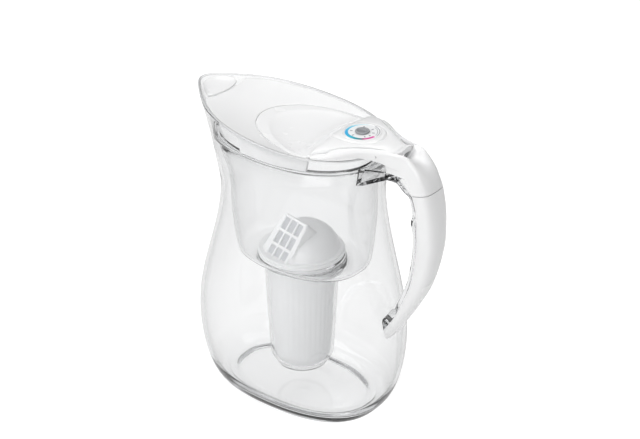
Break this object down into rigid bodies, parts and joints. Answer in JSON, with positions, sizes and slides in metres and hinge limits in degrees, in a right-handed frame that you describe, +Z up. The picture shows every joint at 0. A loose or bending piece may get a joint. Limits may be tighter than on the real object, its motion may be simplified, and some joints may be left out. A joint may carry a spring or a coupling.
{
  "type": "water filter pitcher",
  "caption": "Clear filter pitcher with a lift-out hopper and cartridge, a keyhole-shaped flip lid, a filter-change dial and a curved back handle.",
  "frame": {"origin": "middle of the whole pitcher's box, on the plane that the foot ring stands on", "axes": "+Z up; the spout looks along -X and the handle along +X; the pitcher is alike on both sides of the XZ plane"},
  "size_m": [0.212, 0.112, 0.233],
  "materials": {
    "clear_plastic": "clear, polished",
    "white_plastic": "glossy white",
    "cartridge_plastic": "satin white",
    "grey_mesh": "fine grey mesh",
    "filter_felt": "felt",
    "active_carbon": "black granules",
    "exchange_resin": "amber beads",
    "steel": "plain",
    "dial_white": "printed white",
    "dial_dark": "printed",
    "dial_blue": "printed",
    "dial_teal": "printed",
    "dial_magenta": "printed",
    "dial_grey": "printed",
    "knob_grey": "satin dark grey"
  },
  "bodies": {
    "pitcher": {"jug": "clear_plastic", "handle_rail": "clear_plastic", "handle_shell": "white_plastic", "handle_snap_pins": "white_plastic"},
    "hopper": {"hopper": "clear_plastic"},
    "cartridge": {"cartridge_cup": "cartridge_plastic", "cartridge_cap": "cartridge_plastic", "cap_screen": "grey_mesh", "inlet_pad": "filter_felt", "carbon_granules": "active_carbon", "middle_pad": "filter_felt", "resin_beads": "exchange_resin", "outlet_screen": "grey_mesh"},
    "lid": {"lid_cover": "white_plastic", "flip_lid_pin": "steel", "spout_flap_pin": "steel"},
    "spout_flap": {"spout_flap": "white_plastic"},
    "flip_lid": {"flip_lid": "white_plastic", "dial_seat": "white_plastic", "dial_face": "dial_white", "dial_ticks": "dial_dark", "dial_arc_blue": "dial_blue", "dial_arc_teal": "dial_teal", "dial_arc_magenta": "dial_magenta", "dial_arc_grey": "dial_grey"},
    "dial": {"dial_knob": "knob_grey", "knob_retainer": "steel"}
  },
  "joints": [
    {"name": "hopper_lift", "type": "slide", "parent": "pitcher", "child": "hopper", "axis": [0, 0, 1], "range_m": [0, 0.22]},
    {"name": "cartridge_lift", "type": "slide", "parent": "hopper", "child": "cartridge", "axis": [0, 0, 1], "range_m": [0, 0.19]},
    {"name": "lid_lift", "type": "slide", "parent": "cartridge", "child": "lid", "axis": [0, 0, 1], "range_m": [0, 0.06]},
    {"name": "flip_lid_hinge", "type": "hinge", "parent": "lid", "child": "flip_lid", "pos_m": [0.06075, 0, 0.2226], "axis": [0, 1, 0], "range_deg": [0, 42]},
    {"name": "spout_flap_hinge", "type": "hinge", "parent": "lid", "child": "spout_flap", "pos_m": [-0.08405, 0, 0.2219], "axis": [0, 1, 0], "range_deg": [0, 40]},
    {"name": "dial_turn", "type": "hinge", "parent": "flip_lid", "child": "dial", "pos_m": [0.03875, 0, 0.2279], "axis": [-0.0349, 0, 0.9994], "range_deg": [0, 300]}
  ]
}
